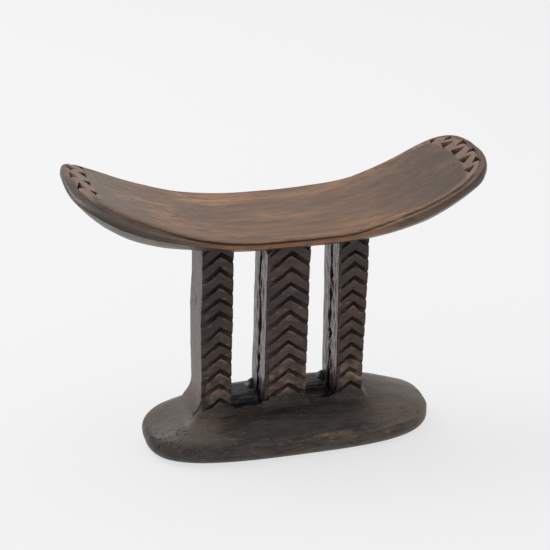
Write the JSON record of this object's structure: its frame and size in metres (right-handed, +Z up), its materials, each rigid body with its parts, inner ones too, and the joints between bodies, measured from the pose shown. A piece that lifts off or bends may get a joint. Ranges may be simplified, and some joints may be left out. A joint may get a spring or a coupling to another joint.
{
  "type": "headrest",
  "caption": "Carved wooden neck rest: a long saddle-shaped pillow on square posts with chevron faces, standing on an oval domed base.",
  "frame": {"origin": "on the floor, under the middle of the pillow", "axes": "+X along the pillow, -Y the front face with the chevrons that are seen first, +Z up"},
  "size_m": [0.1854, 0.0654, 0.1318],
  "materials": {
    "pillow_wood": "hand-rubbed satin, darkened by use",
    "post_wood": "dark stained, worn reddish on the high edges",
    "base_wood": "dark stained satin, worn lighter on the edges"
  },
  "bodies": {
    "root": {"pillow": "pillow_wood", "left_post": "post_wood", "middle_post": "post_wood", "right_post": "post_wood", "base": "base_wood"}
  },
  "joints": []
}
